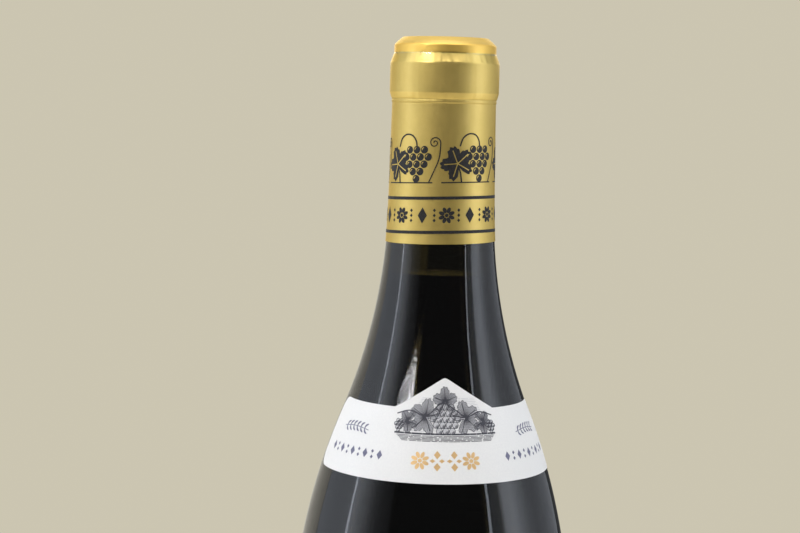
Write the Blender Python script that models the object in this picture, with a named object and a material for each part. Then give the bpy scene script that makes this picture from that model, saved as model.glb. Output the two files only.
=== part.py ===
"""Still wine in a sloping-shoulder bottle with a foil capsule and a peaked neck label.

The bottle stands on its base ring at z = 0, with its axis on Z. The middle of the
label faces -Y. Metres throughout. Four pieces: the glass, the wine inside it, the
foil capsule over the mouth and the paper label on the shoulder.
"""
import math

import bpy
import bmesh

# Driving dimensions of the glass
GLASS_HEIGHT = 0.2970
BODY_RADIUS = 0.0405
MOUTH_RADIUS = 0.00925
BORE_END_RADIUS = 0.0100
BORE_LENGTH = 0.045
NECK_RADIUS = 0.01395
TURN_STEPS = 56

# Collar round the mouth: radius and depth below the rim where each face ends
LIP_RADIUS = 0.01165
LIP_EASE = 0.0008
TOP_RING_RADIUS = 0.01380
TOP_RING_START = 0.0020
TOP_RING_END = 0.0039
COLLAR_RADIUS = 0.01470
COLLAR_START = 0.0068
COLLAR_END = 0.0147
COLLAR_FOOT = 0.0164
COLLAR_FOOT_RADIUS = 0.01415

# Neck and shoulder: straight taper, two hollow arcs, then two full arcs.
# Each arc bends the wall from the angle before it to its own, off the vertical.
NECK_START = 0.0174
NECK_TAPER = math.radians(0.75)
NECK_TAPER_END = 0.0346
SOFT_FLARE_RADIUS = 0.585
SOFT_FLARE_ANGLE = math.radians(2.26)
FLARE_RADIUS = 0.154
FLARE_ANGLE = math.radians(22.1)
SHOULDER_RADIUS = 0.176
SHOULDER_ANGLE = math.radians(10.9)

# Walls and base
SHOULDER_WALL_DEPTH = 0.105
NECK_WALL = 0.0043
BODY_WALL = 0.0034
HEEL_RADIUS = 0.0065
BASE_THICKNESS = 0.0056
INNER_HEEL_RADIUS = 0.0080
STANDING_RING_WIDTH = 0.0025
PUNT_DEPTH = 0.0260
PUNT_STEEPNESS = 1.6

# Wine, foil and paper
WINE_LEVEL_DEPTH = 0.0640
FIT_GAP = 0.0003
FOIL_THICKNESS = 0.0002
CAPSULE_LENGTH = 0.0552
PAPER_THICKNESS = 0.0002

# Neck label, by angle round the bottle and depth below the rim
LABEL_HALF_ANGLE = math.radians(87.4)
LABEL_TOP_DEPTH = 0.0978
LABEL_BOTTOM_DEPTH = 0.1165
LABEL_PEAK_DEPTH = 0.0897
LABEL_PEAK_HALF_ANGLE = math.radians(31.6)
LABEL_CORNER_RADIUS = 0.0038
LABEL_CORNER_STEPS = 5
LABEL_STEPS = 34
LABEL_ROWS = 7

# Closest that two points of a turned line may lie
POINT_SPACING = 0.002


def height(depth):
    """Height above the floor of a point at a depth below the rim."""
    return GLASS_HEIGHT - depth


def arc_below(start, first_angle, last_angle, bend_radius, steps):
    """Points of a wall arc that runs down from start = (radius, depth)."""
    radius, depth = start
    turn = 1.0 if last_angle > first_angle else -1.0
    points = []
    for step in range(1, steps + 1):
        angle = first_angle + (last_angle - first_angle) * step / steps
        out = turn * bend_radius * (math.cos(first_angle) - math.cos(angle))
        down = turn * bend_radius * (math.sin(angle) - math.sin(first_angle))
        points.append((radius + out, depth + down))
    return points


def shoulder_line():
    """Outer wall as (radius, depth) from under the collar to the full body."""
    line = [(NECK_RADIUS, NECK_START)]
    taper_run = NECK_TAPER_END - NECK_START
    line.append((NECK_RADIUS + taper_run * math.tan(NECK_TAPER), NECK_TAPER_END))
    line += arc_below(line[-1], NECK_TAPER, SOFT_FLARE_ANGLE, SOFT_FLARE_RADIUS, 2)
    line += arc_below(line[-1], SOFT_FLARE_ANGLE, FLARE_ANGLE, FLARE_RADIUS, 7)
    line += arc_below(line[-1], FLARE_ANGLE, SHOULDER_ANGLE, SHOULDER_RADIUS, 4)
    rest = BODY_RADIUS - line[-1][0]
    last_bend = rest / (1.0 - math.cos(SHOULDER_ANGLE))
    line += arc_below(line[-1], SHOULDER_ANGLE, 0.0, last_bend, 4)
    return line


SHOULDER_LINE = shoulder_line()
SHOULDER_FOOT_DEPTH = SHOULDER_LINE[-1][1]


def wall_at(depth):
    """Radius and lean of the outer wall at a depth, read along the shoulder line."""
    if depth >= SHOULDER_FOOT_DEPTH:
        return BODY_RADIUS, 0.0
    for (r1, d1), (r2, d2) in zip(SHOULDER_LINE, SHOULDER_LINE[1:]):
        if depth <= d2:
            share = (depth - d1) / (d2 - d1)
            return r1 + (r2 - r1) * share, math.atan2(r2 - r1, d2 - d1)
    return BODY_RADIUS, 0.0


def collar_line():
    """Outer face of the mouth as (radius, depth), from the lip down to the neck."""
    return [
        (LIP_RADIUS, 0.0),
        (TOP_RING_RADIUS, TOP_RING_START),
        (TOP_RING_RADIUS, TOP_RING_END),
        (COLLAR_RADIUS, COLLAR_START),
        (COLLAR_RADIUS, COLLAR_END),
        (COLLAR_FOOT_RADIUS, COLLAR_FOOT),
    ]


def wall_thickness(depth):
    """Glass thickness below the bore: it thins evenly down to the shoulder."""
    share = (depth - BORE_LENGTH) / (SHOULDER_WALL_DEPTH - BORE_LENGTH)
    share = min(max(share, 0.0), 1.0)
    ease = 0.5 - 0.5 * math.cos(math.pi * share)
    return NECK_WALL + (BODY_WALL - NECK_WALL) * ease


def inner_wall():
    """Inside of the bottle as (radius, depth), from the bore's end to the heel."""
    line = [(BORE_END_RADIUS, BORE_LENGTH)]
    for radius, depth in SHOULDER_LINE:
        if depth > BORE_LENGTH + POINT_SPACING:
            line.append((radius - wall_thickness(depth), depth))
    return line


def punt_height(radius, edge_radius):
    """Rise of the hollow base over the standing ring, a rounded cone."""
    if radius >= edge_radius:
        return 0.0
    return PUNT_DEPTH * math.cos(0.5 * math.pi * radius / edge_radius) ** PUNT_STEEPNESS


RING_OUTER = BODY_RADIUS - HEEL_RADIUS
RING_INNER = RING_OUTER - STANDING_RING_WIDTH
FLOOR_EDGE = BODY_RADIUS - BODY_WALL - INNER_HEEL_RADIUS


def base_outside():
    """Underside as (radius, height): punt, standing ring and heel, going outward."""
    line = []
    punt_steps = 7
    for step in range(punt_steps):
        radius = RING_INNER * step / punt_steps
        line.append((radius, punt_height(radius, RING_INNER)))
    line.append((RING_INNER, 0.0))
    heel_steps = 4
    for step in range(heel_steps + 1):
        angle = 0.5 * math.pi * step / heel_steps
        line.append((RING_OUTER + HEEL_RADIUS * math.sin(angle),
                     HEEL_RADIUS * (1.0 - math.cos(angle))))
    return line


def floor_inside(gap=0.0):
    """Inside floor as (radius, height) from the wall to the middle, lifted by gap."""
    bend = INNER_HEEL_RADIUS - gap
    bend_height = BASE_THICKNESS + INNER_HEEL_RADIUS
    line = []
    heel_steps = 3
    for step in range(heel_steps + 1):
        angle = 0.5 * math.pi * (1.0 - step / heel_steps)
        line.append((FLOOR_EDGE + bend * math.sin(angle), bend_height - bend * math.cos(angle)))
    floor_steps = 5
    for step in range(floor_steps - 1, -1, -1):
        radius = FLOOR_EDGE * step / floor_steps
        line.append((radius, BASE_THICKNESS + gap + punt_height(radius, FLOOR_EDGE)))
    return line


def offset_line(line, distance):
    """The same line of (radius, depth) points moved out along its own normals."""
    moved = []
    for index, (radius, depth) in enumerate(line):
        before = line[max(index - 1, 0)]
        after = line[min(index + 1, len(line) - 1)]
        normals = []
        for (r1, d1), (r2, d2) in ((before, (radius, depth)), ((radius, depth), after)):
            length = math.hypot(r2 - r1, d2 - d1)
            if length > 0.0:
                normals.append(((d2 - d1) / length, (r1 - r2) / length))
        out = sum(n[0] for n in normals)
        down = sum(n[1] for n in normals)
        size = math.hypot(out, down)
        out, down = out / size, down / size
        mitre = distance / (out * normals[0][0] + down * normals[0][1])
        moved.append((radius + out * mitre, depth + down * mitre))
    return moved


def material(name, colour, roughness, metallic=0.0):
    finish = bpy.data.materials.new(name)
    finish.use_nodes = True
    shader = finish.node_tree.nodes["Principled BSDF"]
    shader.inputs["Base Color"].default_value = (*colour, 1.0)
    shader.inputs["Roughness"].default_value = roughness
    shader.inputs["Metallic"].default_value = metallic
    return finish


def add_object(name, bm, finish, sharp_angle=30.0):
    """Clean the mesh, turn its faces outward and place it in the scene."""
    bmesh.ops.remove_doubles(bm, verts=bm.verts, dist=1e-6)
    bmesh.ops.dissolve_degenerate(bm, edges=bm.edges, dist=1e-7)
    bmesh.ops.recalc_face_normals(bm, faces=bm.faces)
    mesh = bpy.data.meshes.new(name)
    bm.to_mesh(mesh)
    bm.free()
    mesh.materials.append(finish)
    mesh.shade_smooth()
    mesh.set_sharp_from_angle(angle=math.radians(sharp_angle))
    piece = bpy.data.objects.new(name, mesh)
    bpy.context.scene.collection.objects.link(piece)
    return piece


def turned(name, line, finish):
    """Spin a line of (radius, height) points once round the Z axis."""
    bm = bmesh.new()
    verts = [bm.verts.new((radius, 0.0, z)) for radius, z in line]
    edges = [bm.edges.new(pair) for pair in zip(verts, verts[1:])]
    bmesh.ops.spin(bm, geom=verts + edges, cent=(0, 0, 0), axis=(0, 0, 1),
                   angle=math.tau, steps=TURN_STEPS, use_merge=True)
    return add_object(name, bm, finish)


def glass_bottle():
    """Hollow bottle with an open mouth: base, outer wall, lip, bore, inside, floor."""
    line = base_outside()
    line += [(radius, height(depth)) for radius, depth in reversed(SHOULDER_LINE)]
    line += [(radius, height(depth)) for radius, depth in reversed(collar_line())]
    line.append((MOUTH_RADIUS + LIP_EASE, height(0.0)))
    line.append((MOUTH_RADIUS, height(LIP_EASE)))
    line += [(radius, height(depth)) for radius, depth in inner_wall()]
    line += floor_inside()
    return turned("glass_bottle", line, material("dark_green_glass", (0.030, 0.034, 0.018), 0.06))


def wine():
    """Wine up to its level in the neck, a fitting gap clear of the glass."""
    wall = inner_wall()
    level_radius = 0.0
    for (r1, d1), (r2, d2) in zip(wall, wall[1:]):
        if d1 <= WINE_LEVEL_DEPTH <= d2:
            share = (WINE_LEVEL_DEPTH - d1) / (d2 - d1)
            level_radius = r1 + (r2 - r1) * share
    wetted = [(level_radius, WINE_LEVEL_DEPTH)]
    wetted += [(radius, depth) for radius, depth in wall if depth > WINE_LEVEL_DEPTH + POINT_SPACING]
    line = [(0.0, height(WINE_LEVEL_DEPTH))]
    line += [(radius, height(depth)) for radius, depth in offset_line(wetted, -FIT_GAP)]
    line += floor_inside(FIT_GAP)
    return turned("wine", line, material("red_wine", (0.045, 0.004, 0.008), 0.05))


def capsule():
    """Foil cap over the mouth, closed on top and open below, down to the flare."""
    neck = [(radius, depth) for radius, depth in SHOULDER_LINE if depth < CAPSULE_LENGTH - POINT_SPACING]
    neck.append((wall_at(CAPSULE_LENGTH)[0], CAPSULE_LENGTH))
    cover = [(0.0, 0.0)] + collar_line() + neck
    outside = offset_line(cover, FIT_GAP + FOIL_THICKNESS)
    inside = offset_line(cover, FIT_GAP)
    line = outside + list(reversed(inside))
    line = [(max(radius, 0.0), height(depth)) for radius, depth in line]
    return turned("capsule", line, material("gold_foil", (0.70, 0.55, 0.22), 0.34, 1.0))


def label_edge_depths(angle):
    """Depths where the label starts and ends at an angle from its middle."""
    top = LABEL_TOP_DEPTH
    if abs(angle) < LABEL_PEAK_HALF_ANGLE:
        rise = 1.0 - abs(angle) / LABEL_PEAK_HALF_ANGLE
        top = LABEL_TOP_DEPTH + (LABEL_PEAK_DEPTH - LABEL_TOP_DEPTH) * rise
    bottom = LABEL_BOTTOM_DEPTH
    for depth, sign in ((LABEL_TOP_DEPTH, 1.0), (LABEL_BOTTOM_DEPTH, -1.0)):
        from_end = (LABEL_HALF_ANGLE - abs(angle)) * wall_at(depth)[0]
        if from_end < LABEL_CORNER_RADIUS:
            reach = LABEL_CORNER_RADIUS - from_end
            cut = LABEL_CORNER_RADIUS - math.sqrt(LABEL_CORNER_RADIUS ** 2 - reach ** 2)
            if sign > 0:
                top = depth + cut
            else:
                bottom = depth - cut
    return top, bottom


def label_angles():
    """Angles of the label's columns: even over its middle, closer at its corners."""
    corner = LABEL_CORNER_RADIUS / wall_at(LABEL_TOP_DEPTH)[0]
    ends = []
    for step in range(LABEL_CORNER_STEPS):
        ease = 1.0 - math.cos(0.5 * math.pi * step / LABEL_CORNER_STEPS)
        ends.append(LABEL_HALF_ANGLE - corner * ease)
    inner = LABEL_HALF_ANGLE - corner
    middle = [inner * (1.0 - 2.0 * step / LABEL_STEPS) for step in range(LABEL_STEPS + 1)]
    notches = [LABEL_PEAK_HALF_ANGLE, -LABEL_PEAK_HALF_ANGLE]
    half_step = inner / LABEL_STEPS
    kept = [a for a in middle if min(abs(a - n) for n in notches) > half_step * 0.9]
    return sorted(ends + kept + notches + [-a for a in ends])


def neck_label():
    """Paper skin on the shoulder, shaped by its angle and depth limits."""
    bm = bmesh.new()
    columns = []
    for angle in label_angles():
        top, bottom = label_edge_depths(angle)
        column = []
        for row in range(LABEL_ROWS + 1):
            depth = top + (bottom - top) * row / LABEL_ROWS
            radius, lean = wall_at(depth)
            radius += FIT_GAP * math.cos(lean)
            z = height(depth) + FIT_GAP * math.sin(lean)
            column.append(bm.verts.new((radius * math.sin(angle), -radius * math.cos(angle), z)))
        columns.append(column)
    for left, right in zip(columns, columns[1:]):
        for row in range(LABEL_ROWS):
            bm.faces.new((left[row], left[row + 1], right[row + 1], right[row]))
    bmesh.ops.triangulate(bm, faces=bm.faces)
    paper = add_object("neck_label", bm, material("white_paper", (0.84, 0.84, 0.85), 0.55))
    outward = paper.data.polygons[0]
    facing = outward.normal.x * outward.center.x + outward.normal.y * outward.center.y
    thicken = paper.modifiers.new("paper", "SOLIDIFY")
    thicken.thickness = PAPER_THICKNESS
    thicken.offset = 1.0 if facing > 0.0 else -1.0
    thicken.use_even_offset = True
    return paper


def clear_scene():
    for item in list(bpy.data.objects):
        bpy.data.objects.remove(item, do_unlink=True)


def main():
    clear_scene()
    glass_bottle()
    wine()
    capsule()
    neck_label()


main()
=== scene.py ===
# %% [markdown]
# A full wine bottle, seen from a little above its collar. The imported model gives the
# four solids: the glass, the wine, the foil capsule and the neck label. The lesson
# dresses each one. We first load that frame and read sizes from its box.

# %% Load the frame
import math
import random

import bpy
import bmesh
from mathutils import Matrix, Vector, noise


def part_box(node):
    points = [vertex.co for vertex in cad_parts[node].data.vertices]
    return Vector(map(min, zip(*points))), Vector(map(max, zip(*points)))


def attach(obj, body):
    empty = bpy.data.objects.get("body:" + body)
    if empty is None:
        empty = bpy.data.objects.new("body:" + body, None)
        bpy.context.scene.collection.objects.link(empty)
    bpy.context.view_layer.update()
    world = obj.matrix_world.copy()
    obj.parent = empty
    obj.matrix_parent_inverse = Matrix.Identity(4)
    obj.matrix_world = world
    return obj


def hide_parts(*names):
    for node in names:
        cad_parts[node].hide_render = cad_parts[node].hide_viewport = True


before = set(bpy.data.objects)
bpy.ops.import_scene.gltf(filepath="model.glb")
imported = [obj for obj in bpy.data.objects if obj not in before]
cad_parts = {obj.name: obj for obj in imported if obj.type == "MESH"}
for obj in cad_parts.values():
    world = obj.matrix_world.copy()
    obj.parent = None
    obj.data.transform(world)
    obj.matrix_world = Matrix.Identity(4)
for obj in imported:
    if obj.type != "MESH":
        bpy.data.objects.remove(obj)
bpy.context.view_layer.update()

# %% [markdown]
# Every height on this bottle is easiest to give as a depth below the glass rim, the
# way a bottle maker's drawing does. The rim's height comes from the frame, so the
# dressing sits where the model says.

# %% Rim height and units
MM = 0.001
RIM_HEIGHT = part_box("glass_bottle")[1][2]
BODY_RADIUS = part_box("glass_bottle")[1][0]


def height(depth):
    return RIM_HEIGHT - depth


print("rim at", round(RIM_HEIGHT, 4), "body radius", round(BODY_RADIUS, 4))

# %% [markdown]
# The camera comes first, because it decides what has to look right. Fitting the
# curves of the collar and of the label's lower edge gives an 85 mm view from half a
# metre away, a little to the left of the label's middle. The camera leans slightly,
# as the upright bottle does in the picture.

# %% Camera
CAMERA_DISTANCE = 0.5163
CAMERA_SIDE_STEP = math.radians(-5.9)
CAMERA_DEPTH = 0.0194
LENS = 85.0
SENSOR_WIDTH = 36.0
NEAR_CLIP = 0.01
TURN_LEFT = math.radians(1.205)
LOOK_DOWN = math.radians(4.764)
LEAN = math.radians(1.445)


def add_camera():
    data = bpy.data.cameras.new("portrait_camera")
    data.lens = LENS
    data.sensor_width = SENSOR_WIDTH
    data.clip_start = NEAR_CLIP
    eye = Vector((CAMERA_DISTANCE * math.sin(CAMERA_SIDE_STEP),
                  -CAMERA_DISTANCE * math.cos(CAMERA_SIDE_STEP),
                  height(CAMERA_DEPTH)))
    turn = Matrix.Rotation(CAMERA_SIDE_STEP + TURN_LEFT, 4, "Z")
    tilt = Matrix.Rotation(math.radians(90.0) - LOOK_DOWN, 4, "X")
    lean = Matrix.Rotation(LEAN, 4, "Z")
    camera = bpy.data.objects.new("portrait_camera", data)
    camera.matrix_world = Matrix.Translation(eye) @ turn @ tilt @ lean
    bpy.context.scene.collection.objects.link(camera)
    bpy.context.scene.camera = camera
    return camera


camera = add_camera()
bpy.context.scene.view_settings.view_transform = "Standard"
print("camera at", [round(v, 3) for v in camera.location])

# %% [markdown]
# The bottle is a turned shape, so one line of radius and depth describes it. Under
# the collar runs a straight taper, then two hollow arcs flare out and two full arcs
# close onto the body. Working the arcs out from their radii gives a finer line than
# the model's, with the same form.

# %% Outer line of the glass
NECK_RADIUS = 13.95 * MM
NECK_START = 17.4 * MM
NECK_TAPER = math.radians(0.75)
NECK_TAPER_END = 34.6 * MM
FLARES = (
    (math.radians(2.26), 585.0 * MM, 6),
    (math.radians(22.1), 154.0 * MM, 26),
    (math.radians(10.9), 176.0 * MM, 14),
)
LAST_ARC_STEPS = 14


def arc_below(start, first_angle, last_angle, bend_radius, steps):
    """Points of a wall arc that runs down from start = (radius, depth)."""
    turn = 1.0 if last_angle > first_angle else -1.0
    points = []
    for step in range(1, steps + 1):
        angle = first_angle + (last_angle - first_angle) * step / steps
        out = turn * bend_radius * (math.cos(first_angle) - math.cos(angle))
        down = turn * bend_radius * (math.sin(angle) - math.sin(first_angle))
        points.append((start[0] + out, start[1] + down))
    return points


def shoulder_line():
    taper_run = NECK_TAPER_END - NECK_START
    line = [(NECK_RADIUS, NECK_START),
            (NECK_RADIUS + taper_run * math.tan(NECK_TAPER), NECK_TAPER_END)]
    angle = NECK_TAPER
    for next_angle, bend_radius, steps in FLARES:
        line += arc_below(line[-1], angle, next_angle, bend_radius, steps)
        angle = next_angle
    last_bend = (BODY_RADIUS - line[-1][0]) / (1.0 - math.cos(angle))
    return line + arc_below(line[-1], angle, 0.0, last_bend, LAST_ARC_STEPS)


SHOULDER_LINE = shoulder_line()


def read_line(line, depth):
    """Radius and lean of a wall line at a depth."""
    if depth <= line[0][1]:
        return line[0][0], 0.0
    for (r1, d1), (r2, d2) in zip(line, line[1:]):
        if depth <= d2 and d2 > d1:
            share = (depth - d1) / (d2 - d1)
            return r1 + (r2 - r1) * share, math.atan2(r2 - r1, d2 - d1)
    return line[-1][0], 0.0


print("shoulder line:", len(SHOULDER_LINE), "points, body reached at depth",
      round(SHOULDER_LINE[-1][1] / MM, 1), "mm")

# %% [markdown]
# Hot glass leaves no sharp edges. A small helper rounds the corners of a line with
# short curves, and another spins a finished line once round the Z axis. Both serve
# for the glass, the wine and the foil.

# %% Rounding and turning
TURN_STEPS = 192
SMOOTH_ANGLE = 35.0
WELD_DISTANCE = 1e-7
SLIVER = 1e-8


def step_back(corner, other, reach):
    """The point up to reach away from a corner, never past 45% of that side."""
    share = min(reach / max(math.dist(corner, other), 1e-9), 0.45)
    return Vector(corner).lerp(Vector(other), share)


def round_corners(line, reach, steps=4):
    """Replace each inner corner by a short curve that starts up to reach away."""
    rounded = [line[0]]
    for before, corner, after in zip(line, line[1:], line[2:]):
        start = step_back(corner, before, reach)
        end = step_back(corner, after, reach)
        for step in range(steps + 1):
            t = step / steps
            point = start.lerp(Vector(corner), t).lerp(Vector(corner).lerp(end, t), t)
            rounded.append((point.x, point.y))
    rounded.append(line[-1])
    return rounded


def add_piece(name, bm, material):
    mesh = bpy.data.meshes.new(name)
    bm.to_mesh(mesh)
    bm.free()
    mesh.materials.append(material)
    piece = bpy.data.objects.new(name, mesh)
    bpy.context.scene.collection.objects.link(piece)
    return piece


def finish_mesh(name, bm, material, smooth_angle=SMOOTH_ANGLE):
    """Weld a mesh, and make it an object with smooth faces and sharp edges."""
    bmesh.ops.remove_doubles(bm, verts=bm.verts, dist=WELD_DISTANCE)
    bmesh.ops.dissolve_degenerate(bm, edges=bm.edges, dist=SLIVER)
    bmesh.ops.recalc_face_normals(bm, faces=bm.faces)
    piece = add_piece(name, bm, material)
    piece.data.shade_smooth()
    piece.data.set_sharp_from_angle(angle=math.radians(smooth_angle))
    return piece


def turned(name, line, material, shape=None, smooth_angle=SMOOTH_ANGLE, steps=TURN_STEPS):
    """Spin (radius, height) points round Z; shape may then move each point."""
    bm = bmesh.new()
    verts = [bm.verts.new((radius, 0.0, z)) for radius, z in line]
    edges = [bm.edges.new(pair) for pair in zip(verts, verts[1:])]
    bmesh.ops.spin(bm, geom=verts + edges, cent=(0, 0, 0), axis=(0, 0, 1),
                   angle=math.tau, steps=steps, use_merge=True)
    bmesh.ops.remove_doubles(bm, verts=bm.verts, dist=WELD_DISTANCE)
    if shape:
        for vert in bm.verts:
            vert.co = shape(vert.co)
    return finish_mesh(name, bm, material, smooth_angle)


print("turned in", TURN_STEPS, "steps")

# %% [markdown]
# Materials are small node trees built in code. One helper makes a Principled
# material and sets its plain sockets, where uniform values survive an export. The
# others add noise, ranges, blends and bumps.

# %% Material helpers
def new_material(name, **sockets):
    material = bpy.data.materials.new(name)
    material.use_nodes = True
    shader = material.node_tree.nodes["Principled BSDF"]
    for socket, value in sockets.items():
        shader.inputs[socket.replace("_", " ")].default_value = value
    return material, material.node_tree, shader


def add_node(tree, kind, **settings):
    """Add a node; a setting is a property of it, or the value or the source of a socket."""
    node = tree.nodes.new(kind)
    for key, value in settings.items():
        socket = node.inputs.get(key.replace("_", " "))
        if socket is None:
            setattr(node, key, value)
        elif isinstance(value, bpy.types.NodeSocket):
            tree.links.new(value, socket)
        else:
            socket.default_value = value
    return node


def object_noise(tree, scale, detail, stretch=(1.0, 1.0, 1.0)):
    """Noise in the object's own space, in cycles per metre, stretched per axis."""
    place = add_node(tree, "ShaderNodeTexCoord").outputs["Object"]
    place = add_node(tree, "ShaderNodeMapping", Vector=place, Scale=stretch).outputs["Vector"]
    return add_node(tree, "ShaderNodeTexNoise", Vector=place, Scale=scale, Detail=detail).outputs["Fac"]


def remap(tree, value, low, high, from_low=0.3, from_high=0.7):
    """Stretch a range of values, by default the usual range of noise, to low and high."""
    node = add_node(tree, "ShaderNodeMapRange", Value=value, From_Min=from_low, From_Max=from_high,
                    To_Min=low, To_Max=high)
    return node.outputs["Result"]


def combine(tree, operation, first, second):
    node = add_node(tree, "ShaderNodeMath", operation=operation)
    tree.links.new(first, node.inputs[0])
    tree.links.new(second, node.inputs[1])
    return node.outputs["Value"]


def blend(tree, share, first, second, data_type="RGBA"):
    """Mix two colours or numbers; each is a plain value or another node's output."""
    node = add_node(tree, "ShaderNodeMix", data_type=data_type, Factor=share, A=first, B=second)
    return node.outputs["Result"]


def absorb(tree, tint, density):
    """Fill a clear material with a volume that takes up light."""
    volume = add_node(tree, "ShaderNodeVolumeAbsorption", Color=tint, Density=density)
    tree.links.new(volume.outputs["Volume"], tree.nodes["Material Output"].inputs["Volume"])


def add_bump(tree, shader, value, strength, distance):
    """Give a surface a relief that follows a value; distance is its depth in metres."""
    node = add_node(tree, "ShaderNodeBump", Height=value, Strength=strength, Distance=distance)
    tree.links.new(node.outputs["Normal"], shader.inputs["Normal"])


print("material helpers ready")

# %% [markdown]
# Dark green bottle glass lets a little olive light through one wall and hardly any
# through two. Tinted glass is made from a clear glossy surface and an absorbing
# volume, because then thick places go dark by themselves. A very faint unevenness
# from the mould breaks up the reflections.

# %% Glass material
GLASS_TINT = (0.33, 0.28, 0.09, 1.0)
GLASS_DENSITY = 650.0


def make_glass():
    material, tree, shader = new_material(
        "antique_green_glass", Base_Color=(0.92, 0.95, 0.88, 1.0), Roughness=0.03, IOR=1.52,
        Transmission_Weight=1.0)
    absorb(tree, GLASS_TINT, GLASS_DENSITY)
    haze = object_noise(tree, 300.0, 2.0)
    tree.links.new(remap(tree, haze, 0.03, 0.05), shader.inputs["Roughness"])
    waves = object_noise(tree, 90.0, 1.0, stretch=(1.0, 1.0, 0.35))
    add_bump(tree, shader, waves, 0.10, 0.0006)
    return material


glass_material = make_glass()
print("glass density", GLASS_DENSITY)

# %% [markdown]
# The glass itself is one closed shell: under the base, up the outside, over the lip,
# down the bore and across the floor inside. Its collar carries a stepped ring, which
# the foil will show later. Blown glass thins as it spreads, so the wall eases from
# the neck's thickness to the body's.

# %% Glass shell
MOUTH_RADIUS = 9.25 * MM
BORE_END_RADIUS = 10.0 * MM
BORE_LENGTH = 45.0 * MM
BORE_EASE = 6.0 * MM
BORE_ROUNDING = 3.0 * MM
WALL_EVEN_DEPTH = 105.0 * MM
NECK_WALL = 4.3 * MM
BODY_WALL = 3.4 * MM
HEEL_RADIUS = 6.5 * MM
RING_OUTER = BODY_RADIUS - HEEL_RADIUS
RING_INNER = RING_OUTER - 2.5 * MM
PUNT_DEPTH = 26.0 * MM
PUNT_STEEPNESS = 1.6
BASE_THICKNESS = 5.6 * MM
INNER_HEEL_RADIUS = 8.0 * MM
FLOOR_EDGE = BODY_RADIUS - BODY_WALL - INNER_HEEL_RADIUS
BODY_ROWS = 12
LIP_INSIDE = 6.0 * MM
COLLAR_ROUNDING = 0.6 * MM
COLLAR_LINE = (
    (11.65 * MM, 0.0),
    (13.80 * MM, 2.0 * MM),
    (13.80 * MM, 3.9 * MM),
    (14.70 * MM, 6.8 * MM),
    (14.70 * MM, 14.7 * MM),
    (14.05 * MM, 16.2 * MM),
)


def wall_thickness(depth):
    """Thickness of the glass, which eases from the neck's to the body's."""
    share = (depth - BORE_LENGTH) / (WALL_EVEN_DEPTH - BORE_LENGTH)
    ease = 0.5 - 0.5 * math.cos(math.pi * min(max(share, 0.0), 1.0))
    return NECK_WALL + (BODY_WALL - NECK_WALL) * ease


def inner_line():
    """Inside wall as (radius, depth), from the bore's end down to the heel."""
    wall = [(radius - wall_thickness(depth), depth)
            for radius, depth in SHOULDER_LINE if depth > BORE_LENGTH + BORE_EASE]
    return round_corners([(BORE_END_RADIUS, BORE_LENGTH)] + wall, BORE_ROUNDING, 2)


def punt_height(radius, edge_radius):
    """Rise of the hollow base at a radius, down to nothing at its edge."""
    if radius >= edge_radius:
        return 0.0
    return PUNT_DEPTH * math.cos(0.5 * math.pi * radius / edge_radius) ** PUNT_STEEPNESS


def base_outside(steps=28, heel_steps=10):
    """Underside as (radius, height), from the punt's top to the top of the heel."""
    line = [(RING_INNER * step / steps, punt_height(RING_INNER * step / steps, RING_INNER))
            for step in range(steps)]
    line.append((RING_INNER, 0.0))
    for step in range(heel_steps + 1):
        angle = 0.5 * math.pi * step / heel_steps
        line.append((RING_OUTER + HEEL_RADIUS * math.sin(angle),
                     HEEL_RADIUS * (1.0 - math.cos(angle))))
    return line


def floor_inside(shift=0.0, steps=20, heel_steps=8):
    """Inside floor as (radius, height); shift moves it into the glass."""
    bend = INNER_HEEL_RADIUS + shift
    line = []
    for step in range(heel_steps + 1):
        angle = 0.5 * math.pi * (1.0 - step / heel_steps)
        line.append((FLOOR_EDGE + bend * math.sin(angle),
                     BASE_THICKNESS + INNER_HEEL_RADIUS - bend * math.cos(angle)))
    for step in range(steps - 1, -1, -1):
        radius = FLOOR_EDGE * step / steps
        line.append((radius, BASE_THICKNESS - shift + punt_height(radius, FLOOR_EDGE)))
    return line


def add_glass():
    outside = base_outside()
    body_foot, body_top = outside[-1][1], height(SHOULDER_LINE[-1][1])
    outside += [(BODY_RADIUS, body_foot + (body_top - body_foot) * row / BODY_ROWS)
                for row in range(1, BODY_ROWS)]
    outside += [(radius, height(depth)) for radius, depth in reversed(SHOULDER_LINE)]
    collar = [(MOUTH_RADIUS, LIP_INSIDE), (MOUTH_RADIUS, 0.0)] + list(COLLAR_LINE) + [SHOULDER_LINE[0]]
    collar = round_corners(collar, COLLAR_ROUNDING, 3)
    outside += [(radius, height(depth)) for radius, depth in reversed(collar[:-1])]
    line = outside + [(radius, height(depth)) for radius, depth in inner_line()]
    return turned("bottle_glass", line + floor_inside(), glass_material)


bottle_glass = add_glass()
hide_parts("glass_bottle")
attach(bottle_glass, "root")
print("glass faces", len(bottle_glass.data.polygons))

# %% [markdown]
# Red wine is nearly black in a full bottle, and shows red only where it is thin. It
# gets its own absorbing volume. The wine reaches a tenth of a millimetre into the
# wall, so that no air gap shows, and creeps up the glass in a small meniscus.

# %% Wine
WINE_TINT = (0.62, 0.06, 0.10, 1.0)
WINE_DENSITY = 420.0
WINE_LEVEL = 64.0 * MM
INTO_WALL = 0.1 * MM
MENISCUS = 0.3 * MM
MENISCUS_REACH = 1.6 * MM
MENISCUS_STEEPNESS = 0.35
SURFACE_RINGS = 12


def make_wine():
    material, tree, shader = new_material(
        "red_wine", Base_Color=(1.0, 0.93, 0.93, 1.0), Roughness=0.0, IOR=1.34,
        Transmission_Weight=1.0)
    absorb(tree, WINE_TINT, WINE_DENSITY)
    return material


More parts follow.
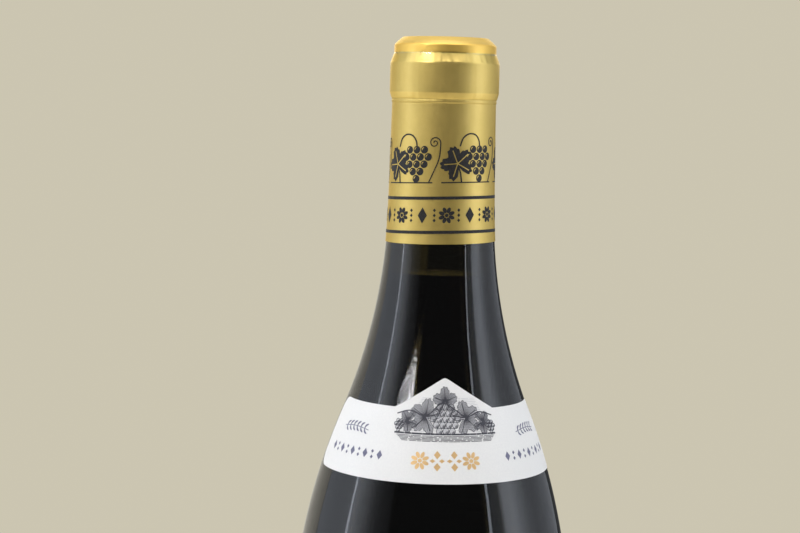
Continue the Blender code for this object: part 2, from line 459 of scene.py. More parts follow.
def add_wine():
    """The wine fills the glass up to its level; its rings lie closer towards the wall."""
    wall = [(radius + INTO_WALL, depth) for radius, depth in inner_line() if depth > WINE_LEVEL]
    level_radius = read_line(inner_line(), WINE_LEVEL)[0] + INTO_WALL
    top = []
    for step in range(SURFACE_RINGS + 1):
        radius = level_radius * (step / SURFACE_RINGS) ** 0.6
        creep = MENISCUS * math.exp(-(level_radius - radius) / (MENISCUS_STEEPNESS * MENISCUS_REACH))
        top.append((radius, WINE_LEVEL - creep))
    line = [(radius, height(depth)) for radius, depth in top + wall]
    return turned("wine_fill", line + floor_inside(INTO_WALL), make_wine())


wine_fill = add_wine()
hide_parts("wine")
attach(wine_fill, "root")
print("wine level at", round(height(WINE_LEVEL), 4))

# %% [markdown]
# Gold-coloured foil is a satin metal under a thin clear varnish. A fine grain and
# slow changes of tone keep it from looking like plastic. Spinning the foil onto the
# collar leaves a band on its slope glossier than the rest. The top and the ring get
# warmer colours, a painted reflection of warm light, and the bevel under the collar a
# paler one, a painted highlight of light from the floor below.

# %% Foil material
FOIL_TONE = (0.62, 0.46, 0.135, 1.0)
FOIL_DARK_TONE = (0.59, 0.435, 0.122, 1.0)
FOIL_LIGHT_TONE = (0.64, 0.475, 0.142, 1.0)
# Painted reflection: the top's warmer tone stands in for warm light reflected there.
FOIL_TOP_PAINTED_REFLECTION = (0.67, 0.475, 0.135, 1.0)
# Painted reflection: the ring's orange tone stands in for warm light reflected there.
FOIL_RING_PAINTED_REFLECTION = (0.80, 0.525, 0.113, 1.0)
# Painted highlight: the bevel's paler tone stands in for light from the floor below.
FOIL_BEVEL_PAINTED_HIGHLIGHT = (0.78, 0.575, 0.165, 1.0)
FOIL_EDGE_TINT = (0.95, 0.80, 0.45, 1.0)
SATIN_ROUGHNESS = (0.43, 0.51)
BURNISHED_ROUGHNESS = 0.34
TOP_REFLECTION_FADE = (4.3 * MM, 3.7 * MM)
RING_REFLECTION_BAND = (1.9 * MM, 3.9 * MM)
SLOPE_BAND = (4.05 * MM, 6.7 * MM)
BEVEL_HIGHLIGHT_BAND = (14.9 * MM, 16.2 * MM)


def depth_band(tree, rise, upper, lower, soft=0.35 * MM):
    """A mask that is 1 between two depths and fades out over a soft edge."""
    over = remap(tree, rise, 0.0, 1.0, height(lower + soft), height(lower))
    under = remap(tree, rise, 1.0, 0.0, height(upper), height(upper - soft))
    return combine(tree, "MULTIPLY", over, under)


def make_foil():
    material, tree, shader = new_material(
        "gold_foil", Base_Color=FOIL_TONE, Metallic=1.0, Roughness=0.47, Specular_Tint=FOIL_EDGE_TINT,
        Coat_Weight=0.25, Coat_Roughness=0.18, Coat_IOR=1.5)
    grain = object_noise(tree, 1800.0, 3.0, stretch=(1.0, 1.0, 0.5))
    cloud = object_noise(tree, 160.0, 3.0)
    place = add_node(tree, "ShaderNodeTexCoord").outputs["Object"]
    rise = add_node(tree, "ShaderNodeSeparateXYZ", Vector=place).outputs["Z"]
    satin = remap(tree, grain, *SATIN_ROUGHNESS)
    gloss = blend(tree, depth_band(tree, rise, *SLOPE_BAND), satin, BURNISHED_ROUGHNESS, "FLOAT")
    tree.links.new(gloss, shader.inputs["Roughness"])
    tone = blend(tree, remap(tree, cloud, 0.0, 1.0), FOIL_DARK_TONE, FOIL_LIGHT_TONE)
    # Painted reflection: the top fades into a warmer base colour.
    top_reflection_share = remap(tree, rise, 0.0, 1.0, *map(height, TOP_REFLECTION_FADE))
    tone = blend(tree, top_reflection_share, tone, FOIL_TOP_PAINTED_REFLECTION)
    # Painted reflection: a warm orange band on the ring's side.
    tone = blend(tree, depth_band(tree, rise, *RING_REFLECTION_BAND), tone, FOIL_RING_PAINTED_REFLECTION)
    # Painted highlight: a paler band on the bevel under the collar.
    tone = blend(tree, depth_band(tree, rise, *BEVEL_HIGHLIGHT_BAND), tone, FOIL_BEVEL_PAINTED_HIGHLIGHT)
    tree.links.new(tone, shader.inputs["Base Color"])
    add_bump(tree, shader, grain, 0.10, 0.00002)
    return material


foil_material = make_foil()
print("foil roughness", SATIN_ROUGHNESS, "and", BURNISHED_ROUGHNESS)

# %% [markdown]
# The capsule is thin foil spun tightly onto the neck. It shows the stepped ring of
# the glass through softened edges, with fine pleats where the foil had to shrink
# over the collar. Its lower edge was cut a little askew, so it is skewed more and
# more towards that edge. Both faces of the foil are turned as one closed line.

# %% Foil shape
FOIL_LIE = 0.04 * MM
FOIL_THICKNESS = 0.14 * MM
FOIL_SKIN = FOIL_LIE + FOIL_THICKNESS
FOIL_LENGTH = 55.0 * MM
EDGE_SKEW = 0.025
PLEAT_DEPTH = 0.10 * MM
PLEAT_BANDS = ((5.6 * MM, 0.75 * MM, 1.6), (15.8 * MM, 1.2 * MM, 0.8))
HAND_WAVE = 0.02 * MM
FOIL_STEPS = 320
FOIL_ROUNDING = 0.22 * MM
DISC_DEPTH = 1.0 * MM
FOIL_SIDE_START = 18.6 * MM
FOIL_SIDE_ROWS = 18
SKEW_START = 20.0 * MM
FOIL_OVER_COLLAR = (
    (0.0, -0.18), (11.6, -0.15), (12.9, 0.95), (13.86, 2.0), (13.88, 4.2),
    (14.62, 6.25), (14.79, 6.7), (14.84, 7.1), (14.84, 14.75),
    (14.42, 16.25), (14.20, 16.55), (14.30, 16.95), (14.28, 17.35),
    (14.12, 17.6), (14.15, 17.9), (14.15, 18.3),
)


def foil_line():
    """Outer face of the foil as (radius, depth), closed at the axis on top."""
    line = [(radius * MM, depth * MM) for radius, depth in FOIL_OVER_COLLAR]
    line = round_corners(line, FOIL_ROUNDING, 3)
    for row in range(FOIL_SIDE_ROWS + 1):
        depth = FOIL_SIDE_START + (FOIL_LENGTH - FOIL_SIDE_START) * row / FOIL_SIDE_ROWS
        line.append((read_line(SHOULDER_LINE, depth)[0] + FOIL_SKIN, depth))
    return line


FOIL_LINE = foil_line()


def foil_shape(point):
    """Press pleats into the slope and the foot, and skew the lower edge."""
    depth = RIM_HEIGHT - point.z
    radius = math.hypot(point.x, point.y)
    angle = math.atan2(point.y, point.x)
    pleated = sum(strength * math.exp(-((depth - middle) / reach) ** 2)
                  for middle, reach, strength in PLEAT_BANDS)
    broad = noise.noise(Vector((5.0 * math.cos(angle), 5.0 * math.sin(angle), depth * 120.0)))
    fine = noise.noise(Vector((17.0 * math.cos(angle), 17.0 * math.sin(angle), depth * 450.0)))
    push = PLEAT_DEPTH * pleated * (0.7 * broad + 0.9 * fine)
    push += HAND_WAVE * noise.noise(point * 260.0)
    if depth > 0.5 * DISC_DEPTH:
        grow = 1.0 + push / radius
        point = Vector((point.x * grow, point.y * grow, point.z))
    share = max(0.0, min(1.0, (depth - SKEW_START) / (FOIL_LENGTH - SKEW_START)))
    return Vector((point.x, point.y, point.z + EDGE_SKEW * share ** 2 * point.x))


def add_capsule():
    outer = [(radius, height(depth)) for radius, depth in FOIL_LINE]
    inner = []
    for radius, depth in reversed(FOIL_LINE):
        drop = FOIL_THICKNESS if depth < DISC_DEPTH else 0.0
        inner.append((max(radius - FOIL_THICKNESS, 0.0), height(depth) - drop))
    return turned("foil_capsule", outer + inner, foil_material, foil_shape, 50.0, FOIL_STEPS)


foil_capsule = add_capsule()
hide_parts("capsule")
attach(foil_capsule, "root")
print("capsule faces", len(foil_capsule.data.polygons))

# %% [markdown]
# Prints are drawn flat, in millimetres, with a few shape makers: strokes, discs,
# rings, leaves and bunches. u runs round the bottle and v runs up. Real geometry
# keeps every edge of the print sharp at any distance.

# %% Drawing helpers
def stroke(points, width, taper=False):
    """A line of a given width as quads; taper narrows both its ends."""
    sides = []
    last = len(points) - 1
    for index, (u, v) in enumerate(points):
        u1, v1 = points[max(index - 1, 0)]
        u2, v2 = points[min(index + 1, last)]
        length = math.hypot(u2 - u1, v2 - v1) or 1.0
        half = 0.5 * width
        if taper:
            half *= 0.25 + 0.75 * math.sin(math.pi * (0.04 + 0.92 * index / max(last, 1)))
        nu, nv = -(v2 - v1) / length * half, (u2 - u1) / length * half
        sides.append(((u + nu, v + nv), (u - nu, v - nv)))
    return [[a, b, d, c] for (a, b), (c, d) in zip(sides, sides[1:])]


def spline(p, q, r, s, t):
    """One coordinate of a smooth curve from q to r, with p before and s after them."""
    return 0.5 * (2 * q + (r - p) * t + (2 * p - 5 * q + 4 * r - s) * t * t
                  + (3 * q - p - 3 * r + s) * t ** 3)


def smooth_path(points, steps=5):
    """A smooth line through a few points."""
    path = []
    padded = [points[0]] + list(points) + [points[-1]]
    for a, b, c, d in zip(padded, padded[1:], padded[2:], padded[3:]):
        for step in range(steps):
            path.append(tuple(spline(*four, step / steps) for four in zip(a, b, c, d)))
    return path + [points[-1]]


def polar(u, v, reach, angle):
    """The point at a distance and an angle from (u, v)."""
    return (u + reach * math.cos(angle), v + reach * math.sin(angle))


def arc(u, v, radius, start, end, steps=8):
    return [polar(u, v, radius, start + (end - start) * s / steps) for s in range(steps + 1)]


def disc(u, v, radius, steps=20):
    return [arc(u, v, radius, 0.0, math.tau, steps)[:-1]]


def ring(u, v, radius, width):
    return stroke(arc(u, v, radius, 0.0, math.tau, 20), width)


def lozenge(u, v, half_width, half_height):
    return [[(u - half_width, v), (u, v - half_height), (u + half_width, v), (u, v + half_height)]]


def leaf_reach(angle):
    """How far a vine leaf reaches from its stalk at an angle from its tip."""
    lobes = 0.60 + 0.40 * abs(math.cos(2.5 * angle)) ** 0.8
    teeth = 1.0 + 0.06 * math.sin(23.0 * angle)
    notch = 1.0 - 0.75 * math.exp(-((abs(angle) - math.pi) / 0.32) ** 2)
    return lobes * teeth * notch


def leaf(u, v, size, tilt, steps=72):
    """Outline of a five-lobed vine leaf whose tip points along tilt."""
    angles = [-math.pi + math.tau * step / steps for step in range(steps)]
    return [polar(u, v, size * leaf_reach(angle), angle + tilt) for angle in angles]


def leaf_veins(u, v, size, tilt, width, angles=(0.0, 1.25, -1.25, 2.45, -2.45), share=0.8):
    """Straight veins from the stalk; share is how far they run towards the edge."""
    lines = []
    for angle in angles:
        tip = polar(u, v, size * leaf_reach(angle) * share, angle + tilt)
        lines += stroke([(u, v), tip], width)
    return lines


def bunch_places(u, v, berry, rows):
    """Centres of the berries of a bunch that hangs from (u, v)."""
    return [(u + (index - 0.5 * (count - 1)) * berry * 2.0, v - berry - row * berry * 1.72)
            for row, count in enumerate(rows) for index in range(count)]


def fan(outline, centre):
    """Triangles from a centre to an outline, for a form that isn't convex."""
    return [[centre, outline[i], outline[(i + 1) % len(outline)]] for i in range(len(outline))]


print("a leaf has", len(leaf(0.0, 0.0, 1.0, 0.0)), "points")

# %% [markdown]
# A flat drawing has to follow a curved wall. It is cut into narrow strips, and then
# each point is moved to its place on the bottle. The faces become a thin film with
# an edge of its own, which lies two hundredths of a millimetre proud, as ink does.

# %% Laying a drawing on the bottle
INK_LIFT = 0.02 * MM
INK_FILM = 0.015 * MM
STRIP = 1.2
DRAWING_WELD = 1e-5


def lay_drawing(name, faces, place, material, lift=INK_LIFT):
    """Cut flat faces into strips along u, place each point, and give the film thickness."""
    bm = bmesh.new()
    for outline in faces:
        bm.faces.new([bm.verts.new((u, v, 0.0)) for u, v in outline])
    bmesh.ops.remove_doubles(bm, verts=bm.verts, dist=DRAWING_WELD)
    low = min(vert.co.x for vert in bm.verts)
    high = max(vert.co.x for vert in bm.verts)
    for cut in range(1, int((high - low) / STRIP) + 1):
        geometry = bm.verts[:] + bm.edges[:] + bm.faces[:]
        bmesh.ops.bisect_plane(bm, geom=geometry, plane_co=(low + cut * STRIP, 0, 0),
                               plane_no=(1, 0, 0), dist=0.1 * DRAWING_WELD)
    bmesh.ops.triangulate(bm, faces=bm.faces)
    bmesh.ops.recalc_face_normals(bm, faces=bm.faces)
    for face in bm.faces:
        if face.normal.z < 0.0:
            face.normal_flip()
    result = bmesh.new()
    upper = {vert: result.verts.new(place(vert.co.x, vert.co.y, lift + INK_FILM)) for vert in bm.verts}
    lower = {vert: result.verts.new(place(vert.co.x, vert.co.y, lift)) for vert in bm.verts}
    for face in bm.faces:
        result.faces.new([upper[vert] for vert in face.verts])
        result.faces.new([lower[vert] for vert in reversed(face.verts)])
    for edge in bm.edges:
        if len(edge.link_faces) == 1:
            loop = edge.link_loops[0]
            a, b = loop.vert, loop.link_loop_next.vert
            result.faces.new((upper[b], upper[a], lower[a], lower[b]))
    bm.free()
    piece = add_piece(name, result, material)
    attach(piece, "root")
    return piece


print("strips are", STRIP, "mm wide")

# %% [markdown]
# The foil carries black print, set out by its depth: two stripes near the foil's
# lower edge, and a ground line above them. One function places every point. The
# print sits a little askew on the neck, at a slant of its own.

# %% Foil ink and stripes
PRINT_SKEW = 0.032
PRINT_FRONT_RISE = 0.024
PRINT_RADIUS = 14.5
GROUND_DEPTH = 38.9
UPPER_STRIPE_DEPTH = 43.0
LOWER_STRIPE_DEPTH = 52.1
STRIPE_WIDTH = 0.85
GROUND_WIDTH = 0.32
STRIPE_STEPS = 96
FOIL_CLEARANCE = 0.02 * MM
FOIL_INK = (0.011, 0.010, 0.010, 1.0)
INK_ROUGHNESS = 0.5


def on_foil(u, v, lift):
    """Place a drawing point: u in mm round the neck, v in mm above the ground line."""
    angle = u / PRINT_RADIUS
    depth = (GROUND_DEPTH - v) * MM
    x, y = math.sin(angle), -math.cos(angle)
    shifted = depth - (PRINT_SKEW * x - PRINT_FRONT_RISE * y) * PRINT_RADIUS * MM
    radius = read_line(FOIL_LINE, shifted)[0] + lift + FOIL_CLEARANCE
    return (radius * x, radius * y, height(shifted))


def make_ink(name, colour):
    """A matt ink that is a little paler and darker from place to place."""
    material, tree, shader = new_material(name, Base_Color=colour, Roughness=INK_ROUGHNESS,
                                          Specular_IOR_Level=0.25)
    speckle = object_noise(tree, 2600.0, 2.0)
    roughness = remap(tree, speckle, INK_ROUGHNESS - 0.06, INK_ROUGHNESS + 0.10)
    tree.links.new(roughness, shader.inputs["Roughness"])
    worn = tuple(0.75 * c + 0.02 for c in colour[:3]) + (1.0,)
    tone = blend(tree, remap(tree, speckle, 0.0, 1.0), colour, worn)
    tree.links.new(tone, shader.inputs["Base Color"])
    return material


foil_ink = make_ink("black_foil_ink", FOIL_INK)


def stripe(depth):
    """A stripe right round the neck, as a line of many short steps."""
    step = math.tau * PRINT_RADIUS / STRIPE_STEPS
    return stroke([(step * s, GROUND_DEPTH - depth) for s in range(STRIPE_STEPS + 1)], STRIPE_WIDTH)


stripes = stripe(UPPER_STRIPE_DEPTH) + stripe(LOWER_STRIPE_DEPTH)
foil_stripes = lay_drawing("foil_stripes", stripes, on_foil, foil_ink)
print("stripe faces", len(foil_stripes.data.polygons))

# %% [markdown]
# Between the stripes runs a row of rosettes, lozenges and dots. Above them stands the
# frieze, a row of vine sprigs, each with a leaf, a bunch of grapes and a tendril. The
# leaf's veins and the shine on the berries are a film of foil over the black.

# %% Frieze and ornaments
SPRIGS = 5
SPRIG_START = 0.36
LEAF_SIZE = 4.7
LEAF_TILT = math.radians(112)
LEAF_PLACE = (-3.9, 5.0)
LEAF_STALK = (LEAF_PLACE, (-3.0, 2.4), (-2.7, 0.1))
VEIN_WIDTH = 0.26
VEIN_LIFT = 0.05 * MM
BUNCH_PLACE = (2.9, 9.9)
BUNCH_ROWS = (3, 4, 3, 2, 1)
BERRY = 1.12
SHINE = (math.radians(100), math.radians(190))
BUNCH_STALK = ((2.9, 9.7), (2.6, 11.2), (1.4, 12.6), (-0.6, 12.9), (-2.4, 11.8), (-3.3, 9.6))
STALK_WIDTH = 0.42
TENDRIL = ((6.6, 0.1), (8.0, 3.2), (9.3, 6.6), (9.6, 10.6))
CURL_PLACE = (8.0, 10.6)
CURL_RADIUS = 1.6
CURL_TURN = 0.42
GROUND_LINE = ((-8.2, 0.0), (7.6, 0.0))
ORNAMENT_DEPTH = 47.6
ORNAMENTS = 14
DOT_RISES = (-1.35, 0.0, 1.35)


def moved(u, points):
    """Points of a sprig, moved to the sprig's place round the neck."""
    return [(u + du, v) for du, v in points]


def frieze():
    """Vine sprigs round the neck: the black print, and the gold lines over it."""
    black, gold = [], []
    pitch = math.tau * PRINT_RADIUS / SPRIGS
    for sprig in range(SPRIGS):
        u = pitch * (sprig + SPRIG_START)
        heart, bunch, curl = moved(u, (LEAF_PLACE, BUNCH_PLACE, CURL_PLACE))
        black += fan(leaf(*heart, LEAF_SIZE, LEAF_TILT), heart)
        gold += leaf_veins(*heart, LEAF_SIZE, LEAF_TILT, VEIN_WIDTH)
        black += stroke(moved(u, LEAF_STALK), STALK_WIDTH)
        for bu, bv in bunch_places(*bunch, BERRY, BUNCH_ROWS):
            black += disc(bu, bv, 0.93 * BERRY, 18)
            gold += stroke(arc(bu, bv, 0.55 * BERRY, *SHINE, 5), 0.22, taper=True)
        black += stroke(smooth_path(moved(u, BUNCH_STALK)), STALK_WIDTH)
        black += stroke([polar(*curl, CURL_RADIUS * (1 - s / 26), s * CURL_TURN) for s in range(24)], 0.3)
        black += stroke(smooth_path(moved(u, TENDRIL)), 0.32)
        black += stroke(moved(u, GROUND_LINE), GROUND_WIDTH)
    return black, gold


def rosette(u, v, radius, petals, width):
    faces = disc(u, v, 0.22 * radius)
    for petal in range(petals):
        turn = math.tau * (petal + 0.5) / petals
        tip = polar(u, v, radius, turn)
        root = polar(u, v, 0.3 * radius, turn)
        middle = ((tip[0] + root[0]) / 2, (tip[1] + root[1]) / 2)
        faces += stroke(smooth_path([root, middle, tip]), width, taper=True)
    return faces


def ornament_row():
    """Rosettes and lozenges in turn, with dots between, inside the two stripes."""
    faces = []
    pitch = math.tau * PRINT_RADIUS / ORNAMENTS
    v = GROUND_DEPTH - ORNAMENT_DEPTH
    for index in range(ORNAMENTS):
        u = pitch * index
        if index % 2 == 0:
            faces += rosette(u, v, 2.2, 8, 1.0)
        else:
            faces += lozenge(u, v, 1.3, 2.15)
        for rise in DOT_RISES:
            faces += lozenge(u + 0.5 * pitch, v + rise, 0.42, 0.5)
    return faces


frieze_black, frieze_gold = frieze()
foil_print = lay_drawing("foil_print", frieze_black + ornament_row(), on_foil, foil_ink)
foil_veins = lay_drawing("foil_leaf_veins", frieze_gold, on_foil, foil_material, VEIN_LIFT)
print("foil print faces", len(foil_print.data.polygons), len(foil_veins.data.polygons))

# %% [markdown]
# The neck label is smooth white paper, cut with a peak in its middle and rounded
# corners. It is laid on the shoulder as a thin sheet with a real edge. Its outline
# is worked out column by column from a few angles and depths.

# %% Label paper
LABEL_HALF_ANGLE = math.radians(87.4)
LABEL_TOP = 97.8 * MM
LABEL_BOTTOM = 116.5 * MM
LABEL_PEAK = 89.7 * MM
PEAK_HALF_ANGLE = math.radians(31.6)
PEAK_TIP_ROUND = math.radians(1.6)
LABEL_CORNER = 3.8 * MM
PAPER_LIE = 0.03 * MM
PAPER_THICKNESS = 0.11 * MM
LABEL_ROWS = 26
LABEL_COLUMNS = 200
CORNER_COLUMNS = 10
PAPER_TONE = (0.755, 0.75, 0.74, 1.0)
PAPER_DARK_TONE = (0.735, 0.73, 0.725, 1.0)
PAPER_LIGHT_TONE = (0.775, 0.77, 0.755, 1.0)


def make_paper():
    material, tree, shader = new_material("label_paper", Base_Color=PAPER_TONE, Roughness=0.55)
    fibre = object_noise(tree, 2400.0, 5.0)
    tone = blend(tree, remap(tree, fibre, 0.0, 1.0), PAPER_DARK_TONE, PAPER_LIGHT_TONE)
    tree.links.new(tone, shader.inputs["Base Color"])
    tree.links.new(remap(tree, fibre, 0.48, 0.62), shader.inputs["Roughness"])
    add_bump(tree, shader, fibre, 0.15, 0.00003)
    return material


label_paper_material = make_paper()


def label_limits(angle):
    """Depths of the label's upper and lower edge at an angle from its middle."""
    top, bottom = LABEL_TOP, LABEL_BOTTOM
    near_tip = math.sqrt(angle * angle + PEAK_TIP_ROUND ** 2) - 0.3 * PEAK_TIP_ROUND
    if near_tip < PEAK_HALF_ANGLE:
        top = LABEL_TOP + (LABEL_PEAK - LABEL_TOP) * (1.0 - near_tip / PEAK_HALF_ANGLE)
    cuts = []
    for depth in (LABEL_TOP, LABEL_BOTTOM):
        from_end = (LABEL_HALF_ANGLE - abs(angle)) * read_line(SHOULDER_LINE, depth)[0]
        reach = max(LABEL_CORNER - from_end, 0.0)
        cuts.append(LABEL_CORNER - math.sqrt(max(LABEL_CORNER ** 2 - reach ** 2, 0.0)))
    return top + cuts[0], bottom - cuts[1]


def on_shoulder(angle, depth, lift):
    """The point lift above the glass at an angle from the label's middle."""
    radius, lean = read_line(SHOULDER_LINE, depth)
    radius += lift * math.cos(lean)
    return (radius * math.sin(angle), -radius * math.cos(angle), height(depth) + lift * math.sin(lean))


def label_angles():
    """Columns of the sheet: close together at the round corners, even between them."""
    corner = LABEL_CORNER / read_line(SHOULDER_LINE, LABEL_TOP)[0]
    ends = [LABEL_HALF_ANGLE - corner * (1.0 - math.cos(0.5 * math.pi * s / CORNER_COLUMNS))
            for s in range(CORNER_COLUMNS)]
    inner = LABEL_HALF_ANGLE - corner
    middle = [inner * (1.0 - 2.0 * s / LABEL_COLUMNS) for s in range(LABEL_COLUMNS + 1)]
    return sorted(ends + middle + [PEAK_HALF_ANGLE, -PEAK_HALF_ANGLE, 0.0] + [-a for a in ends])


def add_strips(bm, first, second):
    """Quads between two rows of points."""
    for a, b, c, d in zip(first, first[1:], second[1:], second):
        bm.faces.new((a, b, c, d))


def add_label():
    bm = bmesh.new()
    out, back = [], []
    for angle in label_angles():
        top, bottom = label_limits(angle)
        for skin, columns in ((PAPER_LIE + PAPER_THICKNESS, out), (PAPER_LIE, back)):
            columns.append([
                bm.verts.new(on_shoulder(angle, top + (bottom - top) * row / LABEL_ROWS, skin))
                for row in range(LABEL_ROWS + 1)])
    for columns in (out, back):
        for left, right in zip(columns, columns[1:]):
            add_strips(bm, left, right)
    for row in (0, LABEL_ROWS):
        add_strips(bm, [column[row] for column in out], [column[row] for column in back])
    for index in (0, -1):
        add_strips(bm, out[index], back[index])
    return finish_mesh("label_sheet", bm, label_paper_material, 40.0)


label_sheet = add_label()
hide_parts("neck_label")
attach(label_sheet, "root")
print("label faces", len(label_sheet.data.polygons))

# %% [markdown]
# The label's print keeps the colours and the scale of a printed label. There are
# matt inks in greys, blue-black and violet, and a gold ink that is half metal. Each
# drawing is placed by its distance from the label's middle and from a base line.

# %% Label inks
LABEL_DRAW_RADIUS = 27.0
LABEL_LINE_DEPTH = 104.0
GOLD_INK = (0.78, 0.52, 0.24, 1.0)
label_dark_ink = make_ink("label_dark_ink", (0.060, 0.060, 0.075, 1.0))
label_grey_ink = make_ink("label_grey_ink", (0.42, 0.42, 0.44, 1.0))
label_pale_ink = make_ink("label_pale_ink", (0.58, 0.58, 0.60, 1.0))
label_violet_ink = make_ink("label_violet_ink", (0.17, 0.17, 0.26, 1.0))


def make_gold_ink():
    material, tree, shader = new_material("label_gold_ink", Base_Color=GOLD_INK, Metallic=0.5, Roughness=0.4)
    speckle = object_noise(tree, 2600.0, 2.0)
    tree.links.new(remap(tree, speckle, 0.36, 0.5), shader.inputs["Roughness"])
    return material


label_gold_ink = make_gold_ink()


def on_label(u, v, lift):
    """Place a drawing point: u in mm from the label's middle, v in mm above its base line."""
    return on_shoulder(u / LABEL_DRAW_RADIUS, (LABEL_LINE_DEPTH - v) * MM,
                       PAPER_LIE + PAPER_THICKNESS + lift)


def print_on_label(name, faces, ink, lift=INK_LIFT):
    piece = lay_drawing(name, faces, on_label, ink, lift)
    print(name, "has", len(piece.data.polygons), "faces")


print("label base line at depth", LABEL_LINE_DEPTH)

# %% [markdown]
# The motif under the peak is a vine still life of our own, in the manner of an
# engraving: leaves full of side veins, berries shaded by crescents, and a background
# of fine lines, broken at random from a fixed seed.

# %% Engraving
SIDE_VEINS = [math.radians(a) for a in range(-156, 157, 7)]
SHADE = (math.radians(-115), math.radians(15))
ENGRAVED_LEAVES = (
    (-5.6, 4.2, 4.5, 152), (5.8, 4.0, 4.3, 30), (0.0, 8.1, 3.7, 92),
    (-10.4, 2.9, 2.9, 200), (10.8, 2.8, 2.9, -14),
)
ENGRAVED_BUNCHES = (
    (0.1, 7.6, 0.88, (3, 4, 5, 4, 3)), (-12.9, 3.4, 0.5, (2, 3, 2, 1)), (13.2, 3.2, 0.5, (2, 3, 2, 1)),
)
STEM = (
    (-14.0, 4.6), (-10.0, 5.6), (-5.5, 4.4), (-1.0, 7.7),
    (3.0, 6.0), (6.0, 4.2), (10.2, 5.4), (14.2, 4.4),
)
BACKDROP = (0.5, 9.2, 0.42, (-13.6, 0.75), (14.0, -0.55), 0.11, 0.5)
GROUND = (-0.1, 0.0, 0.3, (-13.9, 0.0), (14.3, 0.0), 0.42, 0.1)
SHADOW = (-1.9, -0.4, 0.32, (-13.9, -1.2), (14.3, 0.9), 0.14, 0.55)


def engraved_leaf(u, v, size, tilt):
    """Grey leaf with many fine side veins, as an engraver would cut it."""
    outline = leaf(u, v, size, tilt)
    dark = leaf_veins(u, v, size, tilt, 0.09, SIDE_VEINS, 0.95)
    dark += leaf_veins(u, v, size, tilt, 0.20, share=0.9)
    dark += stroke(outline + outline[:1], 0.15)
    return fan(outline, (u, v)), dark


def engraved_bunch(u, v, berry, rows):
    """Round berries, each with an outline and crescent shading strokes."""
    pale, dark = [], []
    for bu, bv in bunch_places(u, v, berry, rows):
        pale += disc(bu, bv, berry * 0.92)
        dark += ring(bu, bv, berry * 0.92, 0.14)
        for share in (0.3, 0.52, 0.74):
            dark += stroke(arc(bu, bv, berry * share, *SHADE), 0.13, taper=True)
    return pale, dark


def hatch(rng, bottom, top, pitch, left, right, width, gap):
    """Rows of broken fine lines; left and right are (place, slope) of the slanted ends."""
    lines = []
    v = bottom
    while v <= top:
        u, stop = (place + slope * v for place, slope in (left, right))
        while u < stop:
            length = rng.uniform(1.0, 3.6)
            lines += stroke([(u, v), (min(u + length, stop), v)], width)
            u += length + rng.uniform(0.05, gap)
        v += pitch
    return lines


def engraving():
    """The still life as grey faces, pale faces and dark lines."""
    rng = random.Random(7)
    pale, grey, dark = hatch(rng, *BACKDROP), [], []
    for u, v, size, tilt in ENGRAVED_LEAVES:
        leaf_grey, leaf_dark = engraved_leaf(u, v, size, math.radians(tilt))
        grey += leaf_grey
        dark += leaf_dark
    for u, v, berry, rows in ENGRAVED_BUNCHES:
        berries_pale, berries_dark = engraved_bunch(u, v, berry, rows)
        pale += berries_pale
        dark += berries_dark
    dark += stroke(smooth_path(STEM), 0.3)
    dark += hatch(rng, *GROUND)
    dark += hatch(rng, *SHADOW)
    return grey, pale, dark


engraving_grey, engraving_pale, engraving_dark = engraving()
print_on_label("label_pale_print", engraving_pale, label_pale_ink, 0.02 * MM)
print_on_label("label_grey_print", engraving_grey, label_grey_ink, 0.01 * MM)
print_on_label("label_dark_print", engraving_dark, label_dark_ink, 0.045 * MM)

# %% [markdown]
# Small ornaments fill the rest of the label. Two rosettes and two groups of lozenges
# stand in gold under the engraving. At each side there is a violet laurel sprig over
# a row of lozenges.

# %% Label ornaments
GOLD_ROW_DEPTH = 110.75
SIDE_ROW_DEPTH = 110.25
SIDE_ROW_MIDDLE = 25.7
SIDE_ROW_PITCH = 2.2
SIDE_ROW_COUNT = 9
LAUREL = (27.3, -0.6, 5.2)
LAUREL_STEPS = 20


def gold_row():
    v = LABEL_LINE_DEPTH - GOLD_ROW_DEPTH
    faces = []
    for side in (-1.0, 1.0):
        u = 2.1 * side
        faces += rosette(6.3 * side, v, 2.3, 8, 0.95)
        for way in (-1.0, 1.0):
            faces += lozenge(u, v + 1.5 * way, 0.85, 1.05)
            faces += lozenge(u + 1.15 * way, v, 0.72, 0.5)
    return faces


def laurel(u, v, reach, pairs=6):
    """A small sprig: an arched stem with leaf pairs along it."""
    shares = [s / LAUREL_STEPS for s in range(LAUREL_STEPS + 1)]
    stem = [(u - reach + 2.0 * reach * share, v + 0.55 * math.sin(math.pi * share)) for share in shares]
    faces = stroke(stem, 0.18)
    for pair in range(pairs):
        root = stem[2 + 3 * pair]
        for side in (-1.0, 1.0):
            tip = (root[0] + 1.15, root[1] + side * 1.25)
            middle = (root[0] + 0.35, root[1] + side * 0.78)
            faces += stroke(smooth_path([root, middle, tip]), 0.5, taper=True)
    return faces


def side_row(side):
    """Lozenges and pairs of small ones in turn."""
    v = LABEL_LINE_DEPTH - SIDE_ROW_DEPTH
    faces = []
    for index in range(SIDE_ROW_COUNT):
        u = SIDE_ROW_MIDDLE * side + (index - SIDE_ROW_COUNT // 2) * SIDE_ROW_PITCH
        if index % 2 == 0:
            faces += lozenge(u, v, 0.78, 1.2)
        else:
            faces += lozenge(u, v + 0.72, 0.42, 0.5) + lozenge(u, v - 0.72, 0.42, 0.5)
    return faces


sprigs = laurel(-LAUREL[0], *LAUREL[1:]) + laurel(*LAUREL)
print_on_label("label_side_flourish", sprigs, label_violet_ink)
print_on_label("label_side_row", side_row(-1.0) + side_row(1.0), label_violet_ink)
print_on_label("label_gold_row", gold_row(), label_gold_ink)

# %% [markdown]
# The bottle stands on a round pale floor. Beyond it the camera sees an even pale
# surround, while the glass reflects a dim room. That keeps the middle of the dark
# glass black, as in a room whose windows are at the sides.

